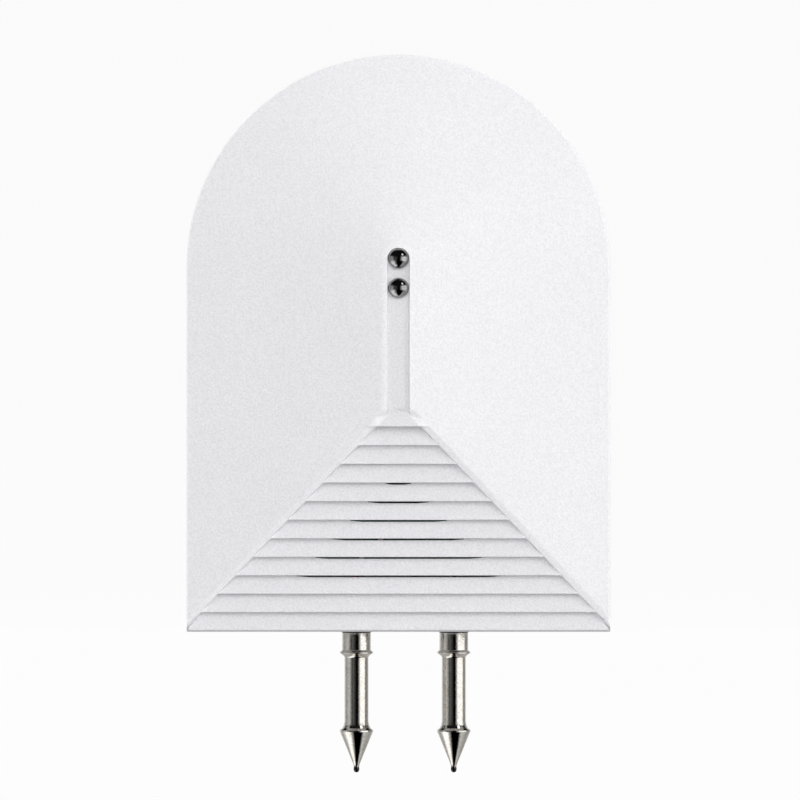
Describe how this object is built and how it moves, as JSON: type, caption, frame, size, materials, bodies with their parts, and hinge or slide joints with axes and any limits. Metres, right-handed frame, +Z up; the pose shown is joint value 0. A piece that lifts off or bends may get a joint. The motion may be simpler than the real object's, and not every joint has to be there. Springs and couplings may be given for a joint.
{
  "type": "soil moisture sensor",
  "caption": "White arched, hip-roofed housing with stepped louvres, domed front contacts and pointed metal soil probes; sliding battery door and push button at the back.",
  "frame": {"origin": "on the housing's underside, on the housing's centre plane and level with the axes of the probes", "axes": "+Z up out of the soil, +Y towards the back, -Y towards the contacts and louvres, X across the housing"},
  "size_m": [0.07, 0.03, 0.1188],
  "materials": {
    "white_shell": "fine spark-eroded ABS, matte",
    "white_rear": "fine spark-eroded ABS, matte",
    "screw_steel": "zinc-plated",
    "nickel": "bright nickel plate on steel",
    "polished_nickel": "mirror nickel",
    "rubber": "black EPDM",
    "tinned_brass": "tinned",
    "spring_steel": "nickel-plated spring steel",
    "wire_red": "silicone jacket",
    "wire_black": "silicone jacket",
    "board_green": "solder-masked glass-epoxy board",
    "board_blue": "solder-masked glass-epoxy board",
    "can_tin": "tin-plated sheet",
    "can_aluminium": "bare can",
    "chip_black": "moulding compound",
    "buzzer_black": "moulded case",
    "copper": "enamelled copper wire",
    "switch_black": "moulded",
    "button_grey": "matte",
    "cell_jacket": "printed jacket on a cell"
  },
  "bodies": {
    "housing": {"front_cover": "white_shell", "rear_housing": "white_rear", "case_screw_1": "screw_steel", "case_screw_2": "screw_steel", "case_screw_3": "screw_steel", "case_screw_4": "screw_steel", "probe_left": "nickel", "probe_seal_left": "rubber", "probe_lug_left": "tinned_brass", "probe_nut_left": "screw_steel", "probe_wire_left": "wire_red", "probe_right": "nickel", "probe_seal_right": "rubber", "probe_lug_right": "tinned_brass", "probe_nut_right": "screw_steel", "probe_wire_right": "wire_black", "front_contact_upper": "polished_nickel", "contact_nut_upper": "screw_steel", "contact_spring_upper": "spring_steel", "front_contact_lower": "polished_nickel", "contact_nut_lower": "screw_steel", "contact_spring_lower": "spring_steel", "circuit_board": "board_green", "board_screw_1": "screw_steel", "board_screw_2": "screw_steel", "board_screw_3": "screw_steel", "board_screw_4": "screw_steel", "rf_module_board": "board_blue", "rf_shield_can": "can_tin", "microcontroller": "chip_black", "clock_crystal": "can_tin", "reservoir_capacitor": "can_aluminium", "coil_antenna": "copper", "piezo_buzzer": "buzzer_black", "switch_body": "switch_black", "battery_left": "cell_jacket", "battery_right": "cell_jacket", "battery_contact_negative": "spring_steel", "battery_contact_positive": "spring_steel", "battery_contact_bridge": "spring_steel"},
    "battery_door": {"battery_door": "white_rear"},
    "learn_button": {"learn_button_cap": "button_grey", "switch_plunger": "switch_black"}
  },
  "joints": [
    {"name": "battery_door_slide", "type": "slide", "parent": "housing", "child": "battery_door", "axis": [0, 0, -1], "range_m": [0, 0.052]},
    {"name": "learn_button_press", "type": "slide", "parent": "housing", "child": "learn_button", "axis": [0, -1, 0], "range_m": [0, 0.0005], "stiffness_N_per_m": 1500, "springref_m": -0.0001}
  ]
}
